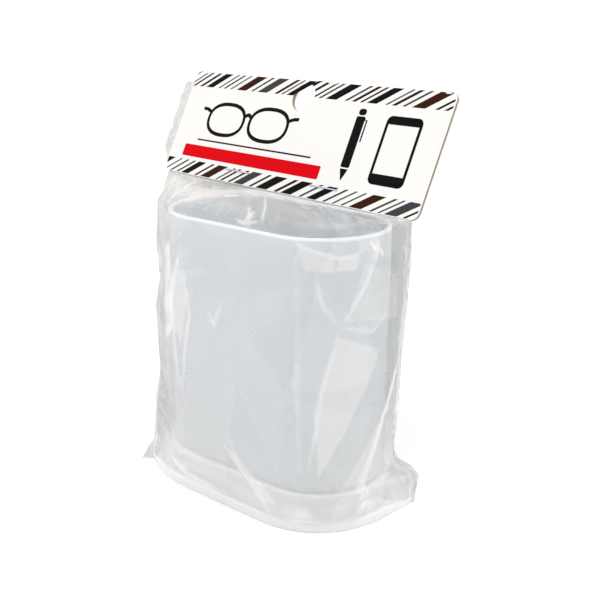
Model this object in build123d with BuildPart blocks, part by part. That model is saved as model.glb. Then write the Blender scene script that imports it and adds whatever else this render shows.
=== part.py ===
# Eyeglasses stand: an oval sleeve of frosted plastic that stands in a shallow tray,
# packed upright in a clear film bag. A folded card, stapled over the bag's flat top,
# closes it and hangs it by a punched hole. Millimetres, +Z up, +X along the oval.
# The origin is the middle of the underside, on the surface that it stands on.
from build123d import *
from math import acos, atan2, cos, degrees, hypot, radians, sin
import os

os.makedirs("parts", exist_ok=True)

# Stand
stand_height = 100.0  # tray's underside to rim
sleeve_length = 87.0
sleeve_depth = 48.0
sleeve_wall = 1.5
rim_round = 0.6
tray_height = 11.0
tray_wall = 1.8
tray_floor = 2.0
tray_round = 0.7
locating_step = 1.6  # height of the raised floor inside the sleeve's foot
sleeve_clearance = 0.15  # sleeve to tray wall, and sleeve to raised floor

# Bag: the real film is thinner, and is drawn at this thickness
film = 0.4
film_gap = 0.3  # film to the plastic that it is pulled over
foot_flare = 5.0  # how much wider the film stands on the floor than at the tray's top
floor_fold_left = 2.2  # how far the side folds stand off the film's rounded ends
floor_fold_right = 1.2
tray_fold_left = 5.2
tray_fold_right = 2.3
rim_fold_left = 3.7
rim_fold_right = 6.3
floor_turn_left = 43.0  # degrees that the folds are turned from the oval's long axis
floor_turn_right = 23.0
tray_turn_left = 38.0
tray_turn_right = 24.0
rim_turn_left = 27.0
rim_turn_right = 32.0
fold_growth = 1.5  # how much further a fold moves than the film's face
corner_reach_left = 3.7  # the welded bottom corners that stick out
corner_reach_right = 4.0
corner_foot_left = 3.4  # how far they stick out on the floor
corner_foot_right = 3.3
corner_low_left = 1.5  # heights of the corner's blunt outer edge
corner_low_right = 8.5
corner_high_left = 5.0
corner_high_right = 11.5
corner_height_left = 8.5
corner_height_right = 11.0
corner_gap = 0.1
corner_rise = 0.2  # their lower edge, off the surface

# Header card
card_width = 125.0
card_height = 41.0
card_leaf = 0.4
card_corner = 3.0
card_lean = 26.0  # degrees back from upright
card_yaw = -6.5  # degrees, turned on the oval
neck_rise = 7.6  # rim to the card's lower edge
neck_forward = 1.0  # the card's lower edge, in front of the oval's middle
film_play = 0.2  # film to each leaf
hang_hole = 10.0
hang_hole_drop = 6.6  # below the fold
hang_hole_shift = -0.8  # along the card from its middle

# Flat top of the bag, between the card's leaves
top_film_left = 70.0  # from the card's middle to the bag's left edge
top_film_right = 56.0
top_film_drop = 4.6  # the bag's upper edge, below the fold
shoulder = 9.0  # the bevelled lower left corner of the flat film

# Neck of the bag, from the sleeve's rim to the card
neck_left = 60.5  # from the card's middle to the ends of the neck
neck_right = 55.0
neck_gap = 0.45  # neck to the film between the leaves
neck_slit = 0.1  # half the gap between its two films
neck_end_film = 2.4  # doubled film at its ends
neck_sink = 0.2  # how far its inner face lies under its outer one
neck_inset = 6.0  # how many films more that face is set in where the neck is nearly level
neck_pull_rim = 9.0  # how strongly the film leaves the rim upward
neck_pull_card = 8.0  # how strongly it comes to the card along the leaves
neck_spans = 5  # bands from the rim to the card
neck_points = 24  # places across each half of the neck

# Staples
staple_crown = 12.7
staple_wire = 0.5
staple_leg = 4.6  # clinched length at the back
staple_bend = 0.45
staple_up = 4.6  # above the card's lower edge
staple_left_x = -21.0
staple_right_x = 22.0
staple_clearance = 0.05

# Heights and half sizes that follow
tray_base = film
sleeve_foot = tray_base + tray_floor
rim_height = tray_base + stand_height
tray_grow = sleeve_clearance + tray_wall
sleeve_radius = sleeve_depth / 2
arc_centre = sleeve_length / 2 - sleeve_radius
foot_radius = sleeve_radius + tray_grow + film_gap
rim_radius = sleeve_radius + film_gap
tray_top = tray_base + tray_height
bag_top = rim_height + film_gap


def export(part, label):
    """Label a finished piece and write it."""
    part.label = label
    export_step(part, f"parts/{label}.step")


# Frosted oval sleeve, open at both ends, with a rounded rim
with BuildPart() as sleeve:
    with BuildSketch(Plane.XY.offset(sleeve_foot)):
        SlotOverall(sleeve_length, sleeve_depth)
        SlotOverall(sleeve_length - 2 * sleeve_wall, sleeve_depth - 2 * sleeve_wall, mode=Mode.SUBTRACT)
    extrude(amount=rim_height - sleeve_foot)
    fillet(sleeve.faces().sort_by(Axis.Z)[-1].edges(), rim_round)
export(sleeve.part, "sleeve")

# Shallow tray: its wall goes round the sleeve's foot, and its raised floor fits inside it
with BuildPart() as base_tray:
    with BuildSketch(Plane.XY.offset(tray_base)):
        SlotOverall(sleeve_length + 2 * tray_grow, sleeve_depth + 2 * tray_grow)
    extrude(amount=tray_height)
    with BuildSketch(Plane.XY.offset(sleeve_foot)):
        SlotOverall(sleeve_length + 2 * sleeve_clearance, sleeve_depth + 2 * sleeve_clearance)
    extrude(amount=tray_height, mode=Mode.SUBTRACT)
    with BuildSketch(Plane.XY.offset(sleeve_foot)):
        inside = 2 * (sleeve_wall + sleeve_clearance)
        SlotOverall(sleeve_length - inside, sleeve_depth - inside)
    extrude(amount=locating_step)
    outer_rings = base_tray.faces().filter_by(Axis.Z)
    fillet(outer_rings.sort_by(Axis.Z)[-1].outer_wire().edges(), tray_round)
    fillet(base_tray.faces().sort_by(Axis.Z)[0].edges(), tray_round)
export(base_tray.part, "base_tray")


def fold_point(side, radius, reach, turn):
    """Where the film folds: off an end of the oval, turned from its long axis."""
    angle = radians(turn)
    return (
        side * (arc_centre + (radius + reach) * cos(angle)),
        side * (radius + reach) * sin(angle),
    )


def grown_fold(side, fold, growth):
    """Move a fold outward as the film's face moves by growth."""
    centre_x = side * arc_centre
    run = (fold[0] - centre_x, fold[1])
    scale = 1 + fold_growth * growth / hypot(*run)
    return (centre_x + run[0] * scale, run[1] * scale)


def web_line(way, radius, left_fold, right_fold, growth):
    """Flat line of the film from fold to fold, in front of the oval (-1) or behind it (1)."""
    grown = radius + growth
    folds = []
    touches = []
    for side, fold in ((-1, left_fold), (1, right_fold)):
        far = grown_fold(side, fold, growth)
        run = (far[0] - side * arc_centre, far[1])
        spread = degrees(acos(grown / hypot(*run)))
        folds.append(far)
        touches.append(degrees(atan2(run[1], run[0])) % 360 + side * way * spread)
    with BuildLine() as line:
        left_arc = CenterArc((-arc_centre, 0), grown, touches[0], 180 - way * 90 - touches[0])
        right_arc = CenterArc((arc_centre, 0), grown, way * 90, touches[1] - way * 90)
        Line(folds[0], left_arc @ 0)
        Line(left_arc @ 1, right_arc @ 0)
        Line(right_arc @ 1, folds[1])
    return line.wire()


def film_outline(plane, radius, left_fold, right_fold, growth=0.0):
    """Outline of film pulled round the oval and pinched to a fold off each end."""
    webs = [web_line(way, radius, left_fold, right_fold, growth) for way in (-1, 1)]
    with BuildSketch(plane) as outline:
        with BuildLine():
            add(webs)
        make_face()
    return outline.sketch


floor_radius = foot_radius + foot_flare
left_folds = (
    fold_point(-1, floor_radius, floor_fold_left, floor_turn_left),
    fold_point(-1, foot_radius, tray_fold_left, tray_turn_left),
    fold_point(-1, rim_radius, rim_fold_left, rim_turn_left),
)
right_folds = (
    fold_point(1, floor_radius, floor_fold_right, floor_turn_right),
    fold_point(1, foot_radius, tray_fold_right, tray_turn_right),
    fold_point(1, rim_radius, rim_fold_right, rim_turn_right),
)
bag_levels = (
    (Plane.XY.offset(film), floor_radius, left_folds[0], right_folds[0]),
    (Plane.XY.offset(tray_top), foot_radius, left_folds[1], right_folds[1]),
    (Plane.XY.offset(bag_top), rim_radius, left_folds[2], right_folds[2]),
)

# Bag film round the tray and the sleeve, a closed tube that its folds part into two panels
with BuildPart() as bag_tube:
    loft(sections=[film_outline(*level, growth=film) for level in bag_levels], ruled=True)
    loft(sections=[film_outline(*level) for level in bag_levels], ruled=True, mode=Mode.SUBTRACT)

fold_middles = [
    (Vector(*left) + Vector(*right)) / 2 + Vector(0, 0, level[0].origin.Z)
    for left, right, level in zip(left_folds, right_folds, bag_levels)
]
fold_runs = [Vector(*right) - Vector(*left) for left, right in zip(left_folds, right_folds)]
mean_run = (fold_runs[0].normalized() + fold_runs[2].normalized()).normalized()
fold_plane = Plane(
    origin=fold_middles[0],
    x_dir=mean_run,
    z_dir=mean_run.cross(fold_middles[2] - fold_middles[0]),
)

with BuildPart() as bag_front_panel:
    add(bag_tube.part)
    split(bisect_by=fold_plane, keep=Keep.TOP)
export(bag_front_panel.part, "bag_front_panel")

with BuildPart() as bag_back_panel:
    add(bag_tube.part)
    split(bisect_by=fold_plane, keep=Keep.BOTTOM)
export(bag_back_panel.part, "bag_back_panel")

# Bottom of the bag, flat under the tray: the face that the pack stands on
with BuildPart() as bag_floor:
    extrude(film_outline(Plane.XY, *bag_levels[0][1:], growth=film), amount=film)
export(bag_floor.part, "bag_floor")


def bag_corner(side, foot, reach, low, high, height):
    """Welded double film that stands out from a bottom fold as a blunt fin."""
    at_floor, at_tray = (left_folds if side < 0 else right_folds)[:2]
    growth = film + corner_gap / fold_growth
    start = Vector(*grown_fold(side, at_floor, growth), film)
    fold = Vector(*grown_fold(side, at_tray, growth), tray_top) - start
    outward = Vector(at_floor[0] - side * arc_centre, at_floor[1]).normalized()
    fin = Plane(origin=start, x_dir=outward, z_dir=outward.cross(fold))
    lean = fold.dot(fin.x_dir) / fold.dot(fin.y_dir)
    foot_level = (corner_rise - film) / fin.y_dir.Z
    with BuildPart() as corner:
        with BuildSketch(fin):
            with BuildLine():
                Polyline(
                    (0, foot_level),
                    (foot, foot_level),
                    (reach, low),
                    (reach + lean * (high - low), high),
                    (lean * height, height),
                    (0, 0),
                    close=True,
                )
            make_face()
        extrude(amount=film, both=True)
    return corner.part


corner_left = bag_corner(
    -1, corner_foot_left, corner_reach_left, corner_low_left, corner_high_left, corner_height_left
)
corner_right = bag_corner(
    1, corner_foot_right, corner_reach_right, corner_low_right, corner_high_right, corner_height_right
)
export(corner_left, "bag_corner_left")
export(corner_right, "bag_corner_right")

# Card plane: x along its lower edge, y up the card, z out of its printed face
card_foot = Vector(0, -neck_forward, rim_height + neck_rise)
card_along = Vector(cos(radians(card_yaw)), sin(radians(card_yaw)), 0)
card_back = Vector(-sin(radians(card_yaw)), cos(radians(card_yaw)), 0)
card_up = card_back * sin(radians(card_lean)) + Vector(0, 0, cos(radians(card_lean)))
card_plane = Plane(origin=card_foot, x_dir=card_along, z_dir=card_along.cross(card_up))
half_slot = film / 2 + film_play
card_face = half_slot + card_leaf
cut_reach = 2 * card_face  # past the card on both sides
hole_centre = (hang_hole_shift, card_height - hang_hole_drop)
staple_legs = [
    (x + side * (staple_crown - staple_wire) / 2, staple_up)
    for x in (staple_left_x, staple_right_x)
    for side in (-1, 1)
]

# Hang hole and staple holes, which go through both leaves and the film between them
with BuildPart() as punches:
    with BuildSketch(card_plane):
        with Locations(hole_centre):
            Circle(hang_hole / 2)
        with Locations(*staple_legs):
            Circle(staple_wire / 2 + staple_clearance)
    extrude(amount=cut_reach, both=True)

# Header card: one strip folded at the top, with rounded corners
with BuildPart() as header_card:
    fold_centre = card_height - card_face
    with BuildSketch(Plane(origin=card_foot, x_dir=card_plane.y_dir, z_dir=card_along)):
        with Locations((fold_centre / 2, 0)):
            Rectangle(fold_centre, 2 * card_face)
        with Locations((fold_centre, 0)):
            Circle(card_face)
        with Locations((fold_centre / 2, 0)):
            Rectangle(fold_centre, 2 * half_slot, mode=Mode.SUBTRACT)
        with Locations((fold_centre, 0)):
            Circle(half_slot, mode=Mode.SUBTRACT)
    extrude(amount=card_width / 2, both=True)
    with BuildSketch(card_plane):
        with Locations((0, card_height / 2)):
            RectangleRounded(card_width, card_height, card_corner)
    extrude(amount=cut_reach, both=True, mode=Mode.INTERSECT)
    add(punches.part, mode=Mode.SUBTRACT)
export(header_card.part, "header_card")

# Flat top of the bag, two films thick, held between the leaves and punched with them
with BuildPart() as bag_flat_top:
    with BuildSketch(card_plane):
        with BuildLine():
            Polyline(
                (-neck_left, 0),
                (top_film_right, 0),
                (top_film_right, card_height - top_film_drop),
                (-top_film_left, card_height - top_film_drop),
                (-top_film_left, shoulder),
                close=True,
            )
        make_face()
    extrude(amount=film / 2, both=True)
    add(punches.part, mode=Mode.SUBTRACT)
export(bag_flat_top.part, "bag_flat_top")


def neck_outline(share, drop, growth, inset, half_thickness):
    """Level outline of the neck, a share of the way from the rim to the card."""
    to_card = 3 * share**2 - 2 * share**3
    bulge = Vector(0, 0, 1) * neck_pull_rim * (share**3 - 2 * share**2 + share)
    bulge += card_up * neck_pull_card * (share**3 - share**2)
    foot = card_foot - card_up * (neck_gap + drop)
    webs = []
    for way in (-1, 1):
        rim = web_line(way, *bag_levels[2][1:], growth)
        points = []
        for step in range(neck_points + 1):
            across = step / neck_points
            along = (neck_right - inset) * across - (neck_left - inset) * (1 - across)
            half = way * half_thickness * (4 * across * (1 - across)) ** 0.25
            at_rim = rim @ across + Vector(0, 0, bag_top - drop)
            at_card = foot + card_along * along + card_back * half
            points.append(at_rim * (1 - to_card) + at_card * to_card + bulge)
        webs.append(Spline(*points))
    return make_face(webs)


# Neck of the bag: film that closes over the mouth and bends where the card flops over
neck_shares = [span / neck_spans for span in range(neck_spans)]
outer = [neck_outline(share, 0, film, 0, neck_slit + film) for share in [*neck_shares, 1]]
inner = [
    neck_outline(share, neck_sink, -film * (1 + neck_inset * share * (1 - share)), neck_end_film, neck_slit)
    for share in neck_shares
]
inner.append(neck_outline(1, film, -film, neck_end_film, neck_slit))
with BuildPart() as bag_neck:
    loft(sections=outer, ruled=True)
    loft(sections=inner, ruled=True, mode=Mode.SUBTRACT)
export(bag_neck.part, "bag_neck")


def staple(middle_x):
    """Wire with its crown on the printed face and its legs clinched at the back."""
    centre = card_foot + card_along * middle_x + card_up * staple_up
    front = card_face + staple_wire / 2 + staple_clearance
    half = (staple_crown - staple_wire) / 2
    path_plane = Plane(origin=centre, x_dir=card_along, z_dir=-card_up)
    with BuildPart() as wire:
        with BuildLine(path_plane) as route:
            FilletPolyline(
                (staple_leg - half, -front),
                (-half, -front),
                (-half, front),
                (half, front),
                (half, -front),
                (half - staple_leg, -front),
                radius=staple_bend,
            )
        with BuildSketch(Plane(origin=route.line @ 0, z_dir=route.line % 0)):
            Circle(staple_wire / 2)
        sweep()
    return wire.part


export(staple(staple_left_x), "staple_left")
export(staple(staple_right_x), "staple_right")
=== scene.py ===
import bmesh
import bpy
import math
import numpy as np
from mathutils import Matrix, Vector, geometry


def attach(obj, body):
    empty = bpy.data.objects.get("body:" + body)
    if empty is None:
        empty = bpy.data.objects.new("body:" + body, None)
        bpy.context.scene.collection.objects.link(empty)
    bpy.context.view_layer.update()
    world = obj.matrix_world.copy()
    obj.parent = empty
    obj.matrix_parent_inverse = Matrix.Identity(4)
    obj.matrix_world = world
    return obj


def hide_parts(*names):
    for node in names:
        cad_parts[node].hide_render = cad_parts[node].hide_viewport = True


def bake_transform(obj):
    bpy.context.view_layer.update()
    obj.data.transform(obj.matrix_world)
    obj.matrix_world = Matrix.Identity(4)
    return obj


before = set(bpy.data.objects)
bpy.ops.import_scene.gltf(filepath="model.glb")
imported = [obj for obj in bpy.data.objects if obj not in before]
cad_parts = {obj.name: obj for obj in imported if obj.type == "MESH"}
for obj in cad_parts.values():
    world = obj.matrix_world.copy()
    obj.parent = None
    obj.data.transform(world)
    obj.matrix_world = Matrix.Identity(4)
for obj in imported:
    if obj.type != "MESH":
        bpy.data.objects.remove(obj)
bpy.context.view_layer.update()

# Camera: a long lens a little above the pack, turned towards its right end.
# It stands where the outlines of the rim, the foot and the card meet the photograph.
camera_data = bpy.data.cameras.new("camera")
camera_data.sensor_width = 36.0
camera_data.lens = 53.97
camera_data.clip_start = 0.01
camera_data.clip_end = 20.0
camera = bpy.data.objects.new("camera", camera_data)
bpy.context.scene.collection.objects.link(camera)
bpy.context.scene.camera = camera
camera_turn = math.radians(38.88)
camera_rise = math.radians(17.79)
camera_roll = math.radians(0.51)
camera_distance = 0.3231
aim_shift = 0.00853  # level, from the stand's middle
aim_height = 0.06883
looks_at = Vector((math.cos(camera_turn) * aim_shift, math.sin(camera_turn) * aim_shift, aim_height))
facing = (
    Matrix.Rotation(camera_turn, 4, "Z")
    @ Matrix.Rotation(math.pi / 2 - camera_rise, 4, "X")
    @ Matrix.Rotation(camera_roll, 4, "Z")
)
camera.matrix_world = Matrix.Translation(looks_at) @ facing @ Matrix.Translation((0, 0, camera_distance))


# Sleeve: one straight oval tube of polypropylene, milky and half clear, open at the top.
# It is injection moulded with a lightly frosted face, and its rim is rounded.
def mottle_group():
    """Slow and fine unevenness of a moulded, rolled or printed face, as a mask and a height."""
    group = bpy.data.node_groups.new("surface_mottle", "ShaderNodeTree")
    for name, value in (("Slow Scale", 20.0), ("Fine Scale", 400.0), ("Fine Share", 0.4)):
        socket = group.interface.new_socket(name, in_out="INPUT", socket_type="NodeSocketFloat")
        socket.default_value = value
    group.interface.new_socket("Mask", in_out="OUTPUT", socket_type="NodeSocketFloat")
    group.interface.new_socket("Height", in_out="OUTPUT", socket_type="NodeSocketFloat")
    inputs = group.nodes.new("NodeGroupInput")
    outputs = group.nodes.new("NodeGroupOutput")
    place = group.nodes.new("ShaderNodeTexCoord")
    slow = group.nodes.new("ShaderNodeTexNoise")
    fine = group.nodes.new("ShaderNodeTexNoise")
    fine.inputs["Detail"].default_value = 4.0
    both = group.nodes.new("ShaderNodeMix")
    for noise, scale in ((slow, "Slow Scale"), (fine, "Fine Scale")):
        group.links.new(place.outputs["Object"], noise.inputs["Vector"])
        group.links.new(inputs.outputs[scale], noise.inputs["Scale"])
    group.links.new(inputs.outputs["Fine Share"], both.inputs["Factor"])
    group.links.new(slow.outputs["Fac"], both.inputs["A"])
    group.links.new(fine.outputs["Fac"], both.inputs["B"])
    group.links.new(both.outputs["Result"], outputs.inputs["Mask"])
    group.links.new(fine.outputs["Fac"], outputs.inputs["Height"])
    return group


surface_mottle = mottle_group()


def start_material(name, slow_scale, fine_scale, fine_share):
    """An empty material with its Principled shader and the mottle placed in it."""
    material = bpy.data.materials.new(name)
    material.use_nodes = True
    tree = material.node_tree
    shader = tree.nodes["Principled BSDF"]
    mottle = tree.nodes.new("ShaderNodeGroup")
    mottle.node_tree = surface_mottle
    mottle.inputs["Slow Scale"].default_value = slow_scale
    mottle.inputs["Fine Scale"].default_value = fine_scale
    mottle.inputs["Fine Share"].default_value = fine_share
    return material, tree, shader, mottle


def worked_out(tree, operation, *terms, clamped=False):
    """What a math node makes of other sockets and plain numbers."""
    node = tree.nodes.new("ShaderNodeMath")
    node.operation = operation
    node.use_clamp = clamped
    for socket, term in zip(node.inputs, terms):
        if isinstance(term, bpy.types.NodeSocket):
            tree.links.new(term, socket)
        else:
            socket.default_value = term
    return node.outputs["Value"]


def eased(tree, value, start, end, low=0.0, high=1.0, smooth=False):
    """Goes from low to high while a value goes from its start to its end."""
    node = tree.nodes.new("ShaderNodeMapRange")
    if smooth:
        node.interpolation_type = "SMOOTHSTEP"
    node.inputs["From Min"].default_value = start
    node.inputs["From Max"].default_value = end
    node.inputs["To Min"].default_value = low
    node.inputs["To Max"].default_value = high
    tree.links.new(value, node.inputs["Value"])
    return node.outputs["Result"]


def ramp_between(tree, mask, socket, low, high):
    """Spread a mask between two values or two colours, and feed it to a shader's socket."""
    if isinstance(low, tuple):
        mix = tree.nodes.new("ShaderNodeMix")
        mix.data_type = "RGBA"
        mix.inputs["A"].default_value = (*low, 1.0)
        mix.inputs["B"].default_value = (*high, 1.0)
        tree.links.new(mask, mix.inputs["Factor"])
        spread = mix.outputs["Result"]
    else:
        spread = eased(tree, mask, 0.25, 0.75, low, high)
    tree.links.new(spread, socket)
    return spread


def add_bump(tree, shader, height, strength, distance):
    """Raise the face by a height that varies over it."""
    bump = tree.nodes.new("ShaderNodeBump")
    bump.inputs["Strength"].default_value = strength
    bump.inputs["Distance"].default_value = distance
    tree.links.new(height, bump.inputs["Height"])
    tree.links.new(bump.outputs["Normal"], shader.inputs["Normal"])


def frosted_plastic(name, darker, lighter, clearness, rough):
    """Milky moulded plastic that lets light through but blurs what is behind it."""
    material, tree, shader, mottle = start_material(name, 35.0, 1800.0, 0.3)
    ramp_between(tree, mottle.outputs["Mask"], shader.inputs["Base Color"], darker, lighter)
    ramp_between(tree, mottle.outputs["Mask"], shader.inputs["Roughness"], *rough)
    add_bump(tree, shader, mottle.outputs["Height"], 0.12, 0.0001)
    shader.inputs["Transmission Weight"].default_value = clearness
    shader.inputs["IOR"].default_value = 1.35
    shader.inputs["Subsurface Weight"].default_value = 0.5
    shader.inputs["Subsurface Radius"].default_value = (1.0, 1.0, 1.0)
    shader.inputs["Subsurface Scale"].default_value = 0.004
    return material


def dress(node, material):
    """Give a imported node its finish."""
    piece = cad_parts[node]
    piece.data.materials.clear()
    piece.data.materials.append(material)
    for face in piece.data.polygons:
        face.use_smooth = True


def painted_edge_glow(material, height, strength):
    """A painted highlight: the wall's edge glows a little all round, by emission."""
    tree = material.node_tree
    shader = tree.nodes["Principled BSDF"]
    place = tree.nodes.new("ShaderNodeTexCoord")
    split = tree.nodes.new("ShaderNodeSeparateXYZ")
    tree.links.new(place.outputs["Object"], split.inputs["Vector"])
    above = worked_out(tree, "SUBTRACT", split.outputs["Z"], height)
    away = worked_out(tree, "ABSOLUTE", above)
    near_edge = eased(tree, away, 0.0008, 0.0003, smooth=True)
    ramp_between(tree, near_edge, shader.inputs["Emission Color"], (0.0, 0.0, 0.0), (1.0, 1.0, 1.0))
    shader.inputs["Emission Strength"].default_value = strength


sleeve_edge = 0.1000
sleeve_finish = frosted_plastic("sleeve_plastic", (0.82, 0.85, 0.91), (0.85, 0.875, 0.93), 0.32, (0.34, 0.46))
# Painted highlight: the sleeve's rim glows a little all round.
painted_edge_glow(sleeve_finish, sleeve_edge, 0.24)
dress("sleeve", sleeve_finish)

# Base tray: a low oval dish of the same plastic, which the sleeve is pressed into.
# It is a little whiter and glossier than the sleeve, and its upper edge is rounded.
tray_edge = 0.0112
tray_finish = frosted_plastic("tray_plastic", (0.93, 0.945, 0.985), (0.955, 0.965, 0.995), 0.26, (0.24, 0.34))
# Painted highlight: the tray's upper edge glows a little all round.
painted_edge_glow(tray_finish, tray_edge, 0.08)
tray_shader = tray_finish.node_tree.nodes["Principled BSDF"]
tray_shader.inputs["Coat Weight"].default_value = 0.8
tray_shader.inputs["Coat Roughness"].default_value = 0.08
dress("base_tray", tray_finish)

# Film bag: one bag of thin, clear, crackling film, welded along its sides and its foot.
# It stands wider than the tray at its foot, where two welded corners stick out, is pulled
# up round the sleeve with a fold off each end, and is gathered flat under the card.
arc_centre = 0.0195  # from the stand's middle to the middle of each rounded end
rim_top = 0.1007
seam_height = 0.0002
underside_half = 0.030  # film under the stand, from its middle to its edge
fin_half = 0.0002  # half the gap between the two webs at a fold
fin_reach = 0.005  # film between a fold and the tip of its fin, laid flat
fin_columns = 20
web_columns = 330
web_width = 0.126
floor_rows = 14
wall_rows = 270
neck_rows = 60
flat_rows = 36
neck_span = 0.024
neck_pull_rim = 0.009  # how strongly the film leaves the rim upward
neck_pull_card = 0.008  # how strongly it comes to the card along the leaves
flat_span = 0.0364
neck_ends = (-0.0605, 0.0550)
flat_ends = (-0.0684, 0.0560)
shoulder = 0.009
ply = 0.00012  # half the gap between the two webs inside the card
card_foot = np.array((0.0, -0.001, 0.108))
card_along = np.array((0.99357, -0.11320, 0.0))
card_up = np.array((0.04962, 0.43555, 0.89879))
card_normal = np.cross(card_along, card_up)
hole_along = -0.0008
hole_up = 0.0344
hole_centre = card_foot + card_along * hole_along + card_up * hole_up
film_hole = 0.0055
strip_edge = -0.0632  # where the crinkled strip beside the card starts

# The film's distances from the middle of each rounded end, at heights from foot to rim
pull_heights = (0.0, 0.003, 0.008, 0.012, 0.1007)
pull_radius = (0.0312, 0.0296, 0.0272, 0.0266, 0.0245)
fold_heights = (
    (0.0, 0.0045, 0.0075, 0.025, 0.037, 0.048, 0.063, 0.073, 0.084, 0.098, 0.1007),
    (0.0, 0.0105, 0.0117, 0.0125, 0.0140, 0.0170, 0.0206, 0.035, 0.053, 0.077, 0.094, 0.1007),
)
fold_distance = (
    (0.0378, 0.0352, 0.0330, 0.0320, 0.0300, 0.0306, 0.0305, 0.0293, 0.0300, 0.0283, 0.0281),
    (0.0364, 0.0372, 0.0366, 0.0336, 0.0305, 0.0283, 0.0278, 0.0288, 0.0290, 0.0304, 0.0308, 0.0306),
)
turn_heights = ((0.0, 0.012, 0.050, 0.1007), (0.0, 0.020, 0.060, 0.1007))
fold_turn = ((43.0, 38.0, 31.0, 27.0), (23.0, 25.0, 28.0, 32.0))
fin_heights = (0.0, 0.0045, 0.0080, 0.1007)
fin_length = ((0.0045, 0.0026, 0.0006, 0.0006), (0.0008, 0.0008, 0.0006, 0.0006))


def mixed(low, high, share):
    """The value that lies a share of the way from low to high."""
    return low + (high - low) * share


def web_outline(height, back):
    """The film's line round one side of the stand at a height, left fold to right fold."""
    radius = float(np.interp(height, pull_heights, pull_radius))
    ends = []
    for side, base in ((0, math.pi), (1, 0.0)):
        turn = math.radians(float(np.interp(height, turn_heights[side], fold_turn[side]))) + base
        reach = float(np.interp(height, fold_heights[side], fold_distance[side]))
        fin = float(np.interp(height, fin_heights, fin_length[side]))
        outward = np.array((math.cos(turn), math.sin(turn)))
        across = np.array((-outward[1], outward[0]))
        centre = np.array((arc_centre if side else -arc_centre, 0.0))
        fold_at = max(reach - fin, radius + 0.0008)
        tip = centre + outward * max(reach, fold_at + 0.0004)
        spread = math.acos(radius / fold_at)
        to_front = across * (1 if side == 0 else -1)
        inner = centre + outward * fold_at + (-to_front if back else to_front) * fin_half
        if side == 0:
            angles = (turn - spread, math.pi / 2) if back else (turn + spread, 1.5 * math.pi)
        else:
            angles = (math.pi / 2, turn + spread) if back else (-math.pi / 2, turn - spread)
        steps = np.linspace(angles[0], angles[1], 60)
        arc = centre + radius * np.stack([np.cos(steps), np.sin(steps)], 1)
        ends.append((tip, inner, arc))
    (left_tip, left_fold, left_arc), (right_tip, right_fold, right_arc) = ends
    body = np.concatenate([left_fold[None], left_arc, right_arc, right_fold[None]])
    run = np.concatenate([[0.0], np.cumsum(np.linalg.norm(np.diff(body, axis=0), axis=1))])
    places = np.linspace(0.0, run[-1], web_columns)
    body = np.stack([np.interp(places, run, body[:, k]) for k in (0, 1)], 1)
    fins = np.linspace(0.0, 1.0, fin_columns, endpoint=False)[:, None]
    left_fin = left_tip + (body[0] - left_tip) * fins
    right_fin = (right_tip + (body[-1] - right_tip) * fins)[::-1]
    return np.concatenate([left_fin, body, right_fin])


def at_height(outline, height):
    """Lift a flat outline to its height."""
    return np.concatenate([outline, np.full((len(outline), 1), height)], 1)


def card_line(left, right, up, depth):
    """A straight line of film along the card, between its leaves."""
    places = np.linspace(left, right, 2 * fin_columns + web_columns)[:, None]
    return card_foot + card_along * places + card_up * up + card_normal * depth


def web_rows(back):
    """All rows of one web, from the weld under the tray to the top of the flat film."""
    depth = -ply if back else ply
    rows = []
    marks = []
    foot = at_height(web_outline(0.0, back), seam_height)
    other = at_height(web_outline(0.0, not back), seam_height)
    middle = (foot + other) / 2
    for share in np.linspace(0.0, 0.97, floor_rows):
        rows.append(mixed(middle, foot, share))
        marks.append(-underside_half * (1 - share))
    for height in np.concatenate([[0.0005], np.linspace(0.0012, rim_top, wall_rows)]):
        rows.append(at_height(web_outline(height, back), height))
        marks.append(height)
    rim = rows[-1]
    flat = card_line(*neck_ends, 0.0, depth)
    rise = np.array((0.0, 0.0, neck_pull_rim))
    lean = card_up * neck_pull_card
    for share in np.linspace(0.0, 1.0, neck_rows)[1:]:
        square, cube = share**2, share**3
        rows.append(
            (2 * cube - 3 * square + 1) * rim
            + (cube - 2 * square + share) * rise
            + (3 * square - 2 * cube) * flat
            + (cube - square) * lean
        )
        marks.append(rim_top + neck_span * share)
    for up in np.linspace(0.0, flat_span, flat_rows)[1:]:
        spread = min(1.0, up / shoulder)
        left, right = (mixed(neck, flat_end, spread) for neck, flat_end in zip(neck_ends, flat_ends))
        rows.append(card_line(left, right, up, depth))
        marks.append(rim_top + neck_span + up)
    return np.array(rows), np.array(marks)


def facet_field(seed, cell, stretch, across, up, patches=False):
    """Flat facets with sharp creases between them, or even patches, read at columns and rows."""
    random = np.random.default_rng(seed)
    corners = []
    for s in np.arange(-0.03, 0.16, cell):
        for h in np.arange(-0.06, 0.19, cell * stretch):
            jitter = random.uniform(-0.48, 0.48, 2)
            corners.append((s + jitter[0] * cell, h + jitter[1] * cell * stretch))
    heights = random.uniform(-0.5, 0.5, len(corners))
    flat = [Vector(c) for c in corners]
    points, _, faces, originals, _, _ = geometry.delaunay_2d_cdt(flat, [], [], 0, 1e-7)
    field = np.zeros((len(up), len(across)))
    for face in faces:
        (x0, y0), (x1, y1), (x2, y2) = (points[i] for i in face)
        z0, z1, z2 = (heights[originals[i][0]] for i in face)
        if patches:
            z0 = z1 = z2 = random.uniform(-0.5, 0.5)
        columns = slice(*np.searchsorted(across, (min(x0, x1, x2), max(x0, x1, x2))))
        rows = slice(*np.searchsorted(up, (min(y0, y1, y2), max(y0, y1, y2))))
        x, y = np.meshgrid(across[columns], up[rows])
        area = (y1 - y2) * (x0 - x2) + (x2 - x1) * (y0 - y2)
        first = ((y1 - y2) * (x - x2) + (x2 - x1) * (y - y2)) / area
        second = ((y2 - y0) * (x - x2) + (x0 - x2) * (y - y2)) / area
        third = 1 - first - second
        inside = (first >= 0) & (second >= 0) & (third >= 0)
        field[rows, columns] = np.where(inside, first * z0 + second * z1 + third * z2, field[rows, columns])
    return field


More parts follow.
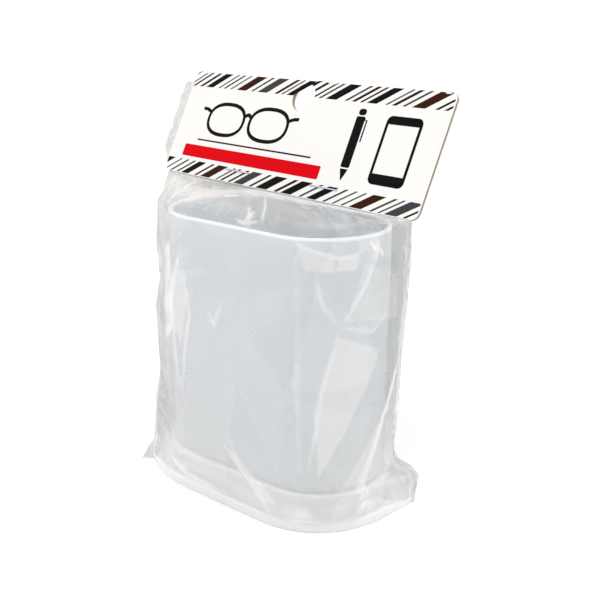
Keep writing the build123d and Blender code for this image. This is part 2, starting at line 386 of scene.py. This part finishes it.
def softened(field, times):
    """Round the creases of a field off a little."""
    for _ in range(times):
        for axis in (0, 1):
            ends = [(1, 1) if k == axis else (0, 0) for k in (0, 1)]
            wide = np.pad(field, ends, mode="edge")
            if axis == 0:
                field = (wide[:-2] + 2 * wide[1:-1] + wide[2:]) / 4
            else:
                field = (wide[:, :-2] + 2 * wide[:, 1:-1] + wide[:, 2:]) / 4
    return field


crease_round = 0.0006  # how round the ridge of a long crease is


def near_crease(s, h, line):
    """How far each place is from a crease, and how much of the crease is there."""
    line = np.array(line)
    lengths = np.linalg.norm(np.diff(line, axis=0), axis=1)
    total = lengths.sum()
    best = np.full(s.shape, 1e9)
    place = np.zeros(s.shape)
    done = 0.0
    for start, end, length in zip(line[:-1], line[1:], lengths):
        run = (end - start) / length
        along = np.clip((s - start[0]) * run[0] + (h - start[1]) * run[1], 0.0, length)
        away = np.hypot(s - start[0] - along * run[0], h - start[1] - along * run[1])
        closer = away < best
        best = np.where(closer, away, best)
        place = np.where(closer, (done + along) / total, place)
        done += length
    return np.hypot(best, crease_round), np.sin(np.pi * place) ** 0.6


def pleat(s, h, start, end, width, lift):
    """A flat strip beside a line, tilted up from it, that drops back sharply at its far side."""
    run = np.array(end) - np.array(start)
    length = np.hypot(*run)
    run /= length
    along = (s - start[0]) * run[0] + (h - start[1]) * run[1]
    beside = (s - start[0]) * run[1] - (h - start[1]) * run[0]
    ends = np.clip(along / 0.010, 0, 1) * np.clip((length - along) / 0.010, 0, 1)
    rise = np.clip(beside / width, 0, 1) - np.clip((beside - width) / (0.25 * width), 0, 1)
    return lift * rise * ends


def sheet(s, h, corners):
    """A mask over a flat sheet of film between creases, given by its corners anticlockwise, for painted
    reflections.
    """
    mask = np.ones(s.shape)
    for start, end in zip(corners, corners[1:] + corners[:1]):
        run = np.array(end) - np.array(start)
        run /= np.hypot(*run)
        inward = (h - start[1]) * run[0] - (s - start[0]) * run[1]
        mask = np.minimum(mask, np.clip(inward / 0.0010, 0, 1))
    return mask


# Sheets of the front web painted whiter, as painted reflections of the lights: how much, then corners
painted_reflection_sheets = (
    (0.42, ((0.0813, 0.0898), (0.0913, 0.0898), (0.0913, 0.0952), (0.0780, 0.1000))),
    (0.42, ((0.0913, 0.0898), (0.0987, 0.0898), (0.1000, 0.0958), (0.0913, 0.0952))),
    (0.34, ((0.0267, 0.0892), (0.0187, 0.0710), (0.0273, 0.0522), (0.0313, 0.0740))),
    (0.18, ((0.0785, 0.0600), (0.0819, 0.0600), (0.0807, 0.0980), (0.0773, 0.0980))),
    (0.18, ((0.0807, 0.0200), (0.0833, 0.0200), (0.0819, 0.0600), (0.0785, 0.0600))),
    (0.30, ((0.0947, 0.0734), (0.1190, 0.0700), (0.1185, 0.0860), (0.1007, 0.0922))),
    (0.32, ((0.0860, 0.0418), (0.0885, 0.0170), (0.1120, 0.0620), (0.0933, 0.0692))),
    (0.26, ((0.0960, 0.0150), (0.1215, 0.0150), (0.1215, 0.0550))),
    (0.36, ((0.0470, 0.0220), (0.0620, 0.0065), (0.0720, 0.0065), (0.0560, 0.0200))),
)

# Creases of the front web: places across and up the film in metres, then lift and width
front_ridges = (
    (((0.074, 0.1010), (0.083, 0.0975), (0.092, 0.0946), (0.097, 0.0950), (0.102, 0.0970)), 0.0017, 0.0016),
    (((0.094, 0.0720), (0.101, 0.0840), (0.107, 0.0960)), 0.0012, 0.0032),
    (((0.094, 0.0720), (0.089, 0.0500), (0.085, 0.0200)), 0.0010, 0.0030),
    (((0.094, 0.0720), (0.106, 0.0690), (0.113, 0.0740)), 0.0010, 0.0024),
    (((0.094, 0.0720), (0.088, 0.0790), (0.085, 0.0900)), 0.0008, 0.0024),
    (((0.028, 0.0900), (0.023, 0.0720), (0.026, 0.0340)), 0.0014, 0.0026),
    (((0.028, 0.0900), (0.032, 0.0660), (0.026, 0.0340)), 0.0010, 0.0024),
    (((0.040, 0.0690), (0.044, 0.0650), (0.047, 0.0740)), 0.0006, 0.0010),
    (((0.103, 0.0990), (0.106, 0.0950), (0.105, 0.0920)), 0.0008, 0.0008),
    (((0.108, 0.0995), (0.106, 0.0970), (0.110, 0.0930)), 0.0008, 0.0008),
    (((0.0575, 0.1110), (0.0590, 0.1065), (0.0575, 0.1020)), 0.0012, 0.0007),
    (((0.0610, 0.1090), (0.0590, 0.1050), (0.0600, 0.1010)), 0.0010, 0.0007),
    (((0.0530, 0.1035), (0.0580, 0.1025), (0.0640, 0.1045)), 0.0009, 0.0007),
    (((0.0630, 0.1190), (0.0650, 0.1120), (0.0653, 0.1030)), 0.0008, 0.0007),
    (((0.0300, 0.1180), (0.0335, 0.1165), (0.0370, 0.1185)), 0.0012, 0.0008),
    (((0.0420, 0.1130), (0.0460, 0.1137), (0.0500, 0.1150)), 0.0012, 0.0008),
    (((0.0040, 0.1150), (0.0055, 0.1190), (0.0060, 0.1215)), 0.0010, 0.0008),
    (((0.0130, 0.1180), (0.0150, 0.1200), (0.0175, 0.1195)), 0.0010, 0.0008),
    (((0.050, 0.0260), (0.060, 0.0120), (0.070, 0.0030)), 0.0012, 0.0022),
    (((0.010, 0.0100), (0.030, 0.0050), (0.052, 0.0040)), 0.0010, 0.0016),
    (((0.072, 0.0025), (0.085, 0.0035), (0.100, 0.0020)), 0.0007, 0.0012),
)


# Facets of the loose film, coarse to fine: seed, width, height over width, lift, and how
# strongly the film's tightness holds them down
web_facets = (
    (11, 0.0210, 2.1, 0.0026, 1.0),
    (31, 0.0100, 1.7, 0.0011, 1.5),
    (23, 0.0046, 1.3, 0.0005, 3.0),
)

# Facets that sway the folds and the corners sideways: seed, width and how far
fold_facets = ((51, 0.0090, 0.0032), (61, 0.0042, 0.0018))
back_seed = 100  # added to the seeds of the back web


def looseness(s, h):
    """Loose film crumples more: near the folds, round the foot and over the mouth."""
    to_fold = np.clip(np.minimum(s, web_width - s), 0, None)
    loose = 0.42 + 0.58 * np.exp(-to_fold / 0.016)
    loose = np.maximum(loose, 0.9 * np.exp(-np.abs(h - 0.003) / 0.008))
    return np.maximum(loose, 0.8 * np.clip((h - 0.092) / 0.015, 0, 1))


def crumpled(s, h, across, marks, seed):
    """How far facets and long creases lift a web off, and the sharp lines along the creases, which are
    painted highlights.
    """
    held = np.clip(np.minimum(s, web_width - s) / 0.004, 0, 1)
    held *= np.clip((h - 0.0005) / 0.002, 0, 1) * np.clip((rim_top + neck_span - h) / 0.010, 0, 1)
    loose = looseness(s, h)
    lift = np.zeros(s.shape)
    for own_seed, width, stretch, height, tightness in web_facets:
        facets = facet_field(own_seed + seed, width, stretch, across, marks)
        lift += height * (facets + 0.5) * loose**tightness
    pressed = np.zeros(s.shape)
    drawn = np.zeros(s.shape)
    if seed != back_seed:
        lift += pleat(s, h, (0.0900, 0.0080), (0.1150, 0.0640), 0.0085, 0.0013)
        for line, height, width in front_ridges:
            away, share = near_crease(s, h, line)
            pressed += height * share * np.exp(-away / width)
            # Painted highlights: a sharp white line along each crease, stronger on the narrow ones.
            glint = 1.0 if width < 0.0009 else 0.5
            drawn = np.maximum(drawn, glint * share * np.exp(-(((away - crease_round) / 0.0003) ** 2)))
    return softened(lift * held, 2), softened(pressed * held, 2), drawn


def swayed(rows, s, h, marks):
    """Both webs sway together at the folds and the welded corners."""
    moved = np.zeros(s.shape)
    for side in (0, 1):
        from_tip = s + fin_reach if side == 0 else web_width + fin_reach - s
        near = np.exp(-np.clip(from_tip, 0, None) / 0.008) * np.clip(h / 0.003, 0.25, 1)
        near *= np.clip((0.108 - h) / 0.02, 0, 1)
        turn = np.radians(np.interp(h, turn_heights[side], fold_turn[side]))
        beside = np.stack([-np.sin(turn), np.cos(turn), np.zeros_like(turn)], 2)
        tip_across = np.sort(from_tip[0])
        sway = np.zeros(s.shape)
        for seed, width, reach in fold_facets:
            sway += reach * facet_field(seed + side, width, 1.2, tip_across, marks)
        if side == 1:
            sway = sway[:, ::-1]
        sway = softened(sway, 1)
        rows = rows + beside * (near * sway)[:, :, None]
        moved += near * sway
    return rows, moved


def crinkled_strip(rows, h, across, marks, seed):
    """The flat strip beside the card is crinkled, and free of the card's slot."""
    beyond = np.clip((strip_edge - (rows - card_foot) @ card_along) / 0.0015, 0, 1)
    beyond *= np.clip((h - rim_top - neck_span - 0.002) / 0.004, 0, 1)
    crinkle = facet_field(71 + seed, 0.0028, 1.4, across, marks)
    return rows + card_normal * (0.0016 * crinkle * beyond)[:, :, None], beyond


def sharpness(lift, across, marks):
    """How sharply a web is creased at each place, from how its lift bends."""
    even = softened(lift, 3)
    row_step = np.gradient(marks)[:, None]
    column_step = np.gradient(across)[None, :]
    bend = np.gradient(np.gradient(even, axis=0) / row_step, axis=0) / row_step
    bend += np.gradient(np.gradient(even, axis=1) / column_step, axis=1) / column_step
    return np.clip(np.abs(bend) / 420.0 - 0.25, 0, 1)


def film_marks(s, h, crease, beyond, across, marks, seed):
    """How white creases, painted highlights, painted reflections and painted light make the film, and how
    much it hides where it is doubled.
    """
    to_fold = np.minimum(s, web_width - s)
    large = softened(facet_field(81 + seed, 0.0190, 2.0, across, marks, patches=True), 4)
    small = softened(facet_field(91 + seed, 0.0050, 1.3, across, marks, patches=True), 2)

    # Painted light on the film: whiter in large patches as painted reflections, over the mouth and toward the
    # foot as painted light, and in the middle of a web
    crease = crease + 0.22 * (large + 0.5) * np.clip(1 + s / fin_reach, 0.3, 1)
    # Painted light: whiter over the mouth.
    crease += 0.36 * np.clip((h - 0.099) / 0.006, 0, 1) * (0.7 + 0.6 * small) * (1 - beyond)
    crease += 0.22 * np.clip((to_fold - 0.012) / 0.010, 0, 1) * np.clip((0.104 - h) / 0.004, 0, 1)
    # Painted light: whiter toward the foot.
    lower = 0.10 * np.clip((0.026 - h) / 0.014, 0, 1) + 0.15 * np.clip((0.085 - h) / 0.060, 0, 1)
    crease += lower * np.clip(to_fold / 0.010, 0, 1)
    if seed != back_seed:
        # Painted reflections: the listed sheets of the front web are whiter.
        for whiteness, corners in painted_reflection_sheets:
            crease += whiteness * sheet(s, h, corners)

    # Doubled and crumpled film hides more: at the ears and in the flat strip
    low = np.clip((0.016 - h) / 0.005, 0, 1)
    left_tip = (1 + 0.7 * low) * np.exp((-fin_reach - s) / 0.014)
    right_tip = np.exp((s - web_width - fin_reach) / 0.019)
    haze = np.maximum(left_tip, right_tip) * (0.5 + 0.5 * low) * (0.8 + 0.8 * small)
    haze = np.maximum(haze, beyond * (0.60 + 0.8 * small))
    return softened(np.clip(crease, 0, 1), 1), np.clip(haze, 0, 1.5)


def film_web(back):
    """One web of the bag with its creases pressed into it, and how white and hazy it is."""
    rows, marks = web_rows(back)
    across = np.concatenate([
        np.linspace(-fin_reach, 0.0, fin_columns, endpoint=False),
        np.linspace(0.0, web_width, web_columns),
        np.linspace(web_width, web_width + fin_reach, fin_columns + 1)[1:],
    ])
    s, h = np.meshgrid(across, marks)
    outward = np.cross(np.gradient(rows, axis=1), np.gradient(rows, axis=0))
    outward /= np.maximum(np.linalg.norm(outward, axis=2, keepdims=True), 1e-12)
    if back:
        outward = -outward
    seed = back_seed if back else 0
    lift, pressed, drawn = crumpled(s, h, across, marks, seed)
    rows, moved = swayed(rows + outward * (lift + pressed)[:, :, None], s, h, marks)
    rows, beyond = crinkled_strip(rows, h, across, marks, seed)
    # Whiteness at creases: partly real whitening of the creased film and partly painted highlights, with the
    # painted highlight lines along the creases.
    crease = np.maximum(sharpness(lift + moved, across, marks), drawn)
    return rows, *film_marks(s, h, crease, beyond, across, marks, seed)


def film_bag():
    """Both webs joined along their welds, with the hole punched through the flat top."""
    points = []
    creases = []
    hazes = []
    faces = []
    for back in (False, True):
        rows, sharp, hazy = film_web(back)
        height, width = rows.shape[:2]
        first = len(points)
        points.extend(map(tuple, rows.reshape(-1, 3)))
        creases.extend(sharp.reshape(-1))
        hazes.extend(hazy.reshape(-1))
        for i in range(height - 1):
            for j in range(width - 1):
                a = first + i * width + j
                face = (a, a + 1, a + width + 1, a + width)
                faces.append(face[::-1] if back else face)
    mesh = bpy.data.meshes.new("film_bag")
    mesh.from_pydata(points, [], faces)
    # The crease attribute holds real whitening at creases and also the painted highlights, painted
    # reflections and painted light.
    for name, values in (("crease", creases), ("haze", hazes)):
        layer = mesh.attributes.new(name, "FLOAT", "POINT")
        layer.data.foreach_set("value", np.array(values, np.float32))
    work = bmesh.new()
    work.from_mesh(mesh)
    near = [f for f in work.faces if (f.calc_center_median() - Vector(hole_centre)).length < film_hole]
    bmesh.ops.delete(work, geom=near, context="FACES")
    bmesh.ops.remove_doubles(work, verts=work.verts, dist=0.000002)
    for f in work.faces:
        f.smooth = True
    work.to_mesh(mesh)
    work.free()
    return mesh


bag = bpy.data.objects.new("film_bag", film_bag())
bpy.context.scene.collection.objects.link(bag)


def film_finish():
    """Clear film: seen through where it faces you, a mirror at its edges, whiter at creases and where
    highlights, reflections and light are painted.
    """
    material, tree, shader, mottle = start_material("clear_film", 60.0, 900.0, 0.5)
    crease = tree.nodes.new("ShaderNodeAttribute")
    crease.attribute_name = "crease"
    haze = tree.nodes.new("ShaderNodeAttribute")
    haze.attribute_name = "haze"
    mirrored = tree.nodes.new("ShaderNodeFresnel")
    mirrored.inputs["IOR"].default_value = 1.5
    cover = worked_out(tree, "MULTIPLY_ADD", mirrored.outputs["Fac"], 1.3, 0.07)
    cover = worked_out(tree, "MULTIPLY_ADD", haze.outputs["Fac"], 0.42, cover)
    # The crease mask, with its painted highlights, reflections and light, makes the film less clear.
    cover = worked_out(tree, "MULTIPLY_ADD", crease.outputs["Fac"], 0.45, cover, clamped=True)

    # Light on its way to the plastic passes nearly unhindered
    path = tree.nodes.new("ShaderNodeLightPath")
    unlit = worked_out(tree, "MAXIMUM", path.outputs["Is Shadow Ray"], path.outputs["Is Diffuse Ray"])
    kept = eased(tree, unlit, 0.0, 1.0, 1.0, 0.12)
    tree.links.new(worked_out(tree, "MULTIPLY", cover, kept), shader.inputs["Alpha"])
    # Whiter where the crease mask is high: real whitening at creases, and painted highlights, painted
    # reflections and painted light.
    clear, white = (0.70, 0.71, 0.67), (0.99, 0.99, 0.98)
    ramp_between(tree, crease.outputs["Fac"], shader.inputs["Base Color"], clear, white)
    ramp_between(tree, mottle.outputs["Mask"], shader.inputs["Roughness"], 0.07, 0.16)
    add_bump(tree, shader, mottle.outputs["Mask"], 0.35, 0.0006)
    shader.inputs["IOR"].default_value = 1.65
    shader.inputs["Specular IOR Level"].default_value = 0.7
    return material


bag.data.materials.append(film_finish())
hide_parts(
    "bag_front_panel",
    "bag_back_panel",
    "bag_floor",
    "bag_corner_left",
    "bag_corner_right",
    "bag_neck",
    "bag_flat_top",
)
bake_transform(bag)

# Header card: coated white board, folded over the bag's flat top, with brown board inside.
# It is die cut with rounded corners and a round hang hole, and printed on its face.
card_half_width = 0.0625
card_height = 0.0410
card_face = 0.0008
inner_face = 0.00036  # from the middle of the fold: the board is brown up to here
coated_face = 0.00046  # and coated white from here on
fold_start = 0.0009  # below the top: the fold itself is coated from here up
hole_radius = 0.0050


def measured(tree, operation, place, other):
    """How far a place is from another, or how far it lies along a direction."""
    node = tree.nodes.new("ShaderNodeVectorMath")
    node.operation = operation
    node.inputs[1].default_value = tuple(other)
    tree.links.new(place, node.inputs[0])
    return node.outputs["Value"]


def card_finish():
    """Coated board: warm white outside, brown board where the leaves face each other."""
    material, tree, shader, mottle = start_material("coated_card", 25.0, 1500.0, 0.5)
    place = tree.nodes.new("ShaderNodeTexCoord").outputs["Object"]
    depth = measured(tree, "DOT_PRODUCT", place, card_normal)
    depth = worked_out(tree, "SUBTRACT", depth, float(card_foot @ card_normal))
    outside = eased(tree, worked_out(tree, "ABSOLUTE", depth), inner_face, coated_face)
    fold_height = float(card_foot @ card_up) + card_height - fold_start
    height = measured(tree, "DOT_PRODUCT", place, card_up)
    at_fold = eased(tree, height, fold_height, fold_height + 0.0001)
    from_hole = measured(tree, "DISTANCE", place, hole_centre)
    off_hole = eased(tree, from_hole, hole_radius + 0.00004, hole_radius + 0.00006)
    coated = worked_out(tree, "MAXIMUM", outside, at_fold)
    coated = worked_out(tree, "MINIMUM", coated, off_hole)
    dull, bright = (0.91, 0.895, 0.865), (0.96, 0.945, 0.915)
    paper = ramp_between(tree, mottle.outputs["Mask"], shader.inputs["Base Color"], dull, bright)
    board = tree.nodes.new("ShaderNodeMix")
    board.data_type = "RGBA"
    board.inputs["A"].default_value = (0.60, 0.48, 0.32, 1.0)
    tree.links.new(coated, board.inputs["Factor"])
    tree.links.new(paper, board.inputs["B"])
    tree.links.new(board.outputs["Result"], shader.inputs["Base Color"])
    ramp_between(tree, mottle.outputs["Mask"], shader.inputs["Roughness"], 0.38, 0.50)
    add_bump(tree, shader, mottle.outputs["Height"], 0.10, 0.00005)
    return material


dress("header_card", card_finish())

# Print on the card: inks laid on the printed face as thin layers, clear of the punched hole.
# Slanted stripes run along both long edges and over the fold, with a plain red bar and
# simple signs of a pair of glasses, a pen and a phone between them.
fold_round = 0.0008
ink_lift = 0.00003
print_margin = 0.0002
corner_round = 0.0030
stripe_slant = 1.6


def on_card(along, up):
    """A printed place in the room; ink that goes past the flat face follows the fold."""
    flat_end = card_height - fold_round
    out = card_face + ink_lift
    if up <= flat_end:
        return card_foot + card_along * along + card_up * up + card_normal * out
    angle = (up - flat_end) / fold_round
    lean = card_up * math.sin(angle) + card_normal * math.cos(angle)
    return card_foot + card_along * along + card_up * flat_end + lean * out


def takes_ink(along, up):
    """True where the board has a face: inside its rounded corners and off the hole."""
    if math.hypot(along - hole_along, up - hole_up) < hole_radius + print_margin:
        return False
    inner_x = card_half_width - print_margin - corner_round
    beyond_x = abs(along) - inner_x
    low = print_margin + corner_round
    high = card_height - print_margin - corner_round
    beyond_y = max(low - up, up - high)
    if beyond_x <= 0 or beyond_y <= 0:
        return beyond_x <= corner_round and beyond_y <= corner_round + 3 * print_margin
    return math.hypot(beyond_x, beyond_y) <= corner_round


def stripe(ink, start, width, low, high):
    """One slanted stripe, made of narrow strips that stop where the board does."""
    points, faces = ink
    strips = max(2, math.ceil(width / 0.00025) + 1)
    steps = 8
    previous = None
    for along in np.linspace(start, start + width, strips):
        ups = np.linspace(low, high, 60)
        kept = [up for up in ups if takes_ink(along + stripe_slant * (up - low), up)]
        if len(kept) < 4:
            previous = None
            continue
        first = len(points)
        for up in np.linspace(kept[0], kept[-1], steps):
            points.append(on_card(along + stripe_slant * (up - low), up))
        if previous is not None:
            for k in range(steps - 1):
                faces.append((previous + k, first + k, first + k + 1, previous + k + 1))
        previous = first


def stroke(ink, line, width, closed=False):
    """A printed line of even width."""
    points, faces = ink
    line = np.array(line, float)
    if closed:
        ahead = np.roll(line, -1, axis=0) - np.roll(line, 1, axis=0)
    else:
        ahead = np.gradient(line, axis=0)
    ahead /= np.linalg.norm(ahead, axis=1)[:, None]
    beside = np.stack([-ahead[:, 1], ahead[:, 0]], 1) * width / 2
    first = len(points)
    for centre, side in zip(line, beside):
        points.append(on_card(*(centre - side)))
        points.append(on_card(*(centre + side)))
    count = len(line)
    for k in range(count if closed else count - 1):
        a = first + 2 * k
        b = first + 2 * ((k + 1) % count)
        faces.append((a, b, b + 1, a + 1))


def patch(ink, outline):
    """A printed area with a straight or rounded outline."""
    points, faces = ink
    first = len(points)
    points.extend(on_card(*corner) for corner in outline)
    faces.append(tuple(range(first, first + len(outline))))


def rounded_box(left, right, low, high, radius, steps=8):
    """Corner points of a box with rounded corners, anticlockwise."""
    corners = ((right - radius, high - radius, 0), (left + radius, high - radius, 90),
               (left + radius, low + radius, 180), (right - radius, low + radius, 270))
    outline = []
    for x, y, turn in corners:
        for angle in np.radians(np.linspace(turn, turn + 90, steps)):
            outline.append((x + radius * math.cos(angle), y + radius * math.sin(angle)))
    return outline


def bowed_ring(centre_x, centre_y, half_x, half_y, power=2.4, steps=56):
    """A lens outline: an ellipse with slightly squared shoulders."""
    outline = []
    for angle in np.linspace(0, 2 * math.pi, steps, endpoint=False):
        c, s = math.cos(angle), math.sin(angle)
        outline.append((
            centre_x + half_x * math.copysign(abs(c) ** (2 / power), c),
            centre_y + half_y * math.copysign(abs(s) ** (2 / power), s),
        ))
    return outline


inks = {name: ([], []) for name in ("black", "brown", "grey", "red")}

# Stripes: broad black ones, broad brown or grey ones and fine lines in loose order, in two
# rows, each given by its lower edge, its upper edge and its start along the card
pick = np.random.default_rng(41)
broad = (("black", 0.0050), ("black", 0.0042), ("brown", 0.0052), ("grey", 0.0050), ("black", 0.0056))
fine = (("grey", 0.0013), ("brown", 0.0014), ("black", 0.0012), ("grey", 0.0010), ("brown", 0.0018))
stripe_rows = ((0.0347, 0.0414, -0.0740), (0.0002, 0.0055, -0.0715))
for low, high, place in stripe_rows:
    turn = 0
    while place < card_half_width:
        name, width = broad[turn % len(broad)]
        turn += 1
        stripe(inks[name], place, width, low, high)
        place += width + pick.uniform(0.0021, 0.0040)
        for _ in range(pick.integers(1, 4)):
            name, width = fine[pick.integers(len(fine))]
            stripe(inks[name], place, width, low, high)
            place += width + pick.uniform(0.0016, 0.0030)

# Plain red bar and a thin brown rule over it: left, right, low, high, corner radius
patch(inks["red"], rounded_box(-0.0548, 0.0180, 0.0069, 0.0116, 0.0006))
patch(inks["brown"], rounded_box(-0.0488, 0.0120, 0.0136, 0.0142, 0.0002))

# Sign of a pair of glasses seen from the front
glasses_middle = -0.0250
lens_offset = 0.0115
lens_up = 0.0228
lens_half = (0.0098, 0.0060)
frame_line = 0.0014
bridge_half = 0.0018
bridge_up = 0.0246
bridge_bow = 0.0011
hinge_offset = 0.0213
arm_line = 0.0013
for side in (-1, 1):
    stroke(
        inks["black"],
        bowed_ring(glasses_middle + side * lens_offset, lens_up, *lens_half),
        frame_line,
        closed=True,
    )
    hinge = glasses_middle + side * hinge_offset
    arm = [(hinge, 0.0253), (hinge + side * 0.0022, 0.0261), (hinge + side * 0.0046, 0.0263)]
    stroke(inks["black"], arm, arm_line)
bridge = [
    (glasses_middle + x, bridge_up + bridge_bow * math.cos(x / bridge_half * math.pi / 2))
    for x in np.linspace(-bridge_half, bridge_half, 9)
]
stroke(inks["black"], bridge, frame_line)

# Sign of a pen: barrel, cap, point and clip
patch(inks["black"], rounded_box(0.0262, 0.0300, 0.0125, 0.0300, 0.0006))
patch(inks["black"], rounded_box(0.0265, 0.0297, 0.0304, 0.0326, 0.0010))
patch(inks["black"], [(0.0264, 0.0120), (0.0281, 0.0078), (0.0298, 0.0120)])
stroke(inks["black"], [(0.0297, 0.0290), (0.0309, 0.0288), (0.0309, 0.0215)], 0.0006)

# Sign of a phone: outline, upper band and lower band
stroke(inks["black"], rounded_box(0.0396, 0.0530, 0.0092, 0.0308, 0.0016), 0.0011, closed=True)
patch(inks["black"], rounded_box(0.0399, 0.0527, 0.0285, 0.0305, 0.0006))
patch(inks["black"], rounded_box(0.0399, 0.0527, 0.0095, 0.0122, 0.0006))


def ink_finish(name, darker, lighter):
    """Offset ink, a little uneven and slightly glossy."""
    material, tree, shader, mottle = start_material(name, 120.0, 2600.0, 0.6)
    ramp_between(tree, mottle.outputs["Mask"], shader.inputs["Base Color"], darker, lighter)
    ramp_between(tree, mottle.outputs["Mask"], shader.inputs["Roughness"], 0.42, 0.58)
    add_bump(tree, shader, mottle.outputs["Height"], 0.08, 0.00004)
    shader.inputs["Specular IOR Level"].default_value = 0.04
    return material


ink_colours = {
    "black": ((0.003, 0.002, 0.002), (0.007, 0.006, 0.006)),
    "brown": ((0.032, 0.008, 0.004), (0.048, 0.013, 0.006)),
    "grey": ((0.040, 0.040, 0.046), (0.065, 0.065, 0.072)),
    "red": ((0.700, 0.0, 0.004), (0.790, 0.0, 0.006)),
}
for name, (points, faces) in inks.items():
    mesh = bpy.data.meshes.new(f"print_{name}")
    mesh.from_pydata([tuple(p) for p in points], [], faces)
    mesh.materials.append(ink_finish(f"ink_{name}", *ink_colours[name]))
    layer = bpy.data.objects.new(f"print_{name}", mesh)
    bpy.context.scene.collection.objects.link(layer)
    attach(layer, "card")

# Staples: two common steel staples, driven from the front through both leaves and the film.
# The wire is bright and drawn, with fine lines along it.
def steel_finish():
    """Drawn steel wire, bright with fine wear."""
    material, tree, shader, mottle = start_material("staple_steel", 300.0, 4000.0, 0.6)
    dull, bright = (0.42, 0.44, 0.50), (0.60, 0.62, 0.68)
    ramp_between(tree, mottle.outputs["Mask"], shader.inputs["Base Color"], dull, bright)
    ramp_between(tree, mottle.outputs["Mask"], shader.inputs["Roughness"], 0.22, 0.38)
    add_bump(tree, shader, mottle.outputs["Height"], 0.2, 0.00003)
    shader.inputs["Metallic"].default_value = 1.0
    return material


steel = steel_finish()
dress("staple_left", steel)
dress("staple_right", steel)

# Room: a white table top and an even white surround. One large soft light stands above the
# left shoulder of the camera, with a small one beside it for the glints on the film, and
# three wide ones stand low at the left, low at the right and high behind.
table_half = 3.0
table_mesh = bpy.data.meshes.new("table_top")
table_mesh.from_pydata(
    [(table_half * x, table_half * y, 0) for x, y in ((-1, -1), (1, -1), (1, 1), (-1, 1))],
    [],
    [(0, 1, 2, 3)],
)
table = bpy.data.objects.new("table_top", table_mesh)
table.location = (0, 0, -0.0001)
bpy.context.scene.collection.objects.link(table)


def background_seen(tree):
    """One for rays that look at the background: straight, mirrored or through the plastic."""
    path = tree.nodes.new("ShaderNodeLightPath")
    seen = worked_out(tree, "MAXIMUM", path.outputs["Is Camera Ray"], path.outputs["Is Glossy Ray"])
    return worked_out(tree, "MAXIMUM", seen, path.outputs["Is Transmission Ray"])


def table_finish():
    """White table top that keeps the pack's soft shadow."""
    material, tree, shader, mottle = start_material("table_white", 3.0, 200.0, 0.3)
    dull, bright = (0.90, 0.90, 0.90), (0.93, 0.93, 0.93)
    ramp_between(tree, mottle.outputs["Mask"], shader.inputs["Base Color"], dull, bright)
    shader.inputs["Roughness"].default_value = 0.8
    place = tree.nodes.new("ShaderNodeTexCoord").outputs["Object"]
    distance = measured(tree, "DISTANCE", place, (0.0, 0.0, 0.0))
    fading = eased(tree, distance, 0.15, 1.20, 0.22, 0.56, smooth=True)
    glow = worked_out(tree, "MULTIPLY", background_seen(tree), fading)
    tree.links.new(glow, shader.inputs["Emission Strength"])
    shader.inputs["Emission Color"].default_value = (1, 1, 1, 1)
    return material


table_mesh.materials.append(table_finish())

surround = bpy.data.worlds.new("white_surround")
bpy.context.scene.world = surround
surround.use_nodes = True
sky = surround.node_tree.nodes["Background"]
sky.inputs["Color"].default_value = (1.0, 1.0, 1.0, 1.0)
level = eased(surround.node_tree, background_seen(surround.node_tree), 0.0, 1.0, 0.55, 1.0)
surround.node_tree.links.new(level, sky.inputs["Strength"])


def soft_light(name, turn, rise, distance, size, power):
    """A square soft box that looks at the middle of the pack."""
    data = bpy.data.lights.new(name, "AREA")
    data.size = size
    data.energy = power
    lamp = bpy.data.objects.new(name, data)
    turn, rise = math.radians(turn), math.radians(rise)
    away = Vector((math.sin(turn) * math.cos(rise), -math.cos(turn) * math.cos(rise), math.sin(rise)))
    lamp.location = Vector((0, 0, 0.06)) + away * distance
    lamp.rotation_mode = "QUATERNION"
    lamp.rotation_quaternion = away.to_track_quat("Z", "Y")
    bpy.context.scene.collection.objects.link(lamp)


soft_light("key_light", turn=8.0, rise=52.0, distance=0.8, size=0.45, power=1.34)
soft_light("spark_light", turn=12.0, rise=46.0, distance=0.8, size=0.09, power=0.40)
soft_light("left_light", turn=-42.0, rise=10.0, distance=0.9, size=0.85, power=2.1)
soft_light("right_light", turn=112.0, rise=12.0, distance=0.9, size=0.60, power=2.2)
soft_light("back_light", turn=200.0, rise=68.0, distance=0.9, size=0.50, power=1.9)

bpy.context.scene.view_settings.view_transform = "Standard"
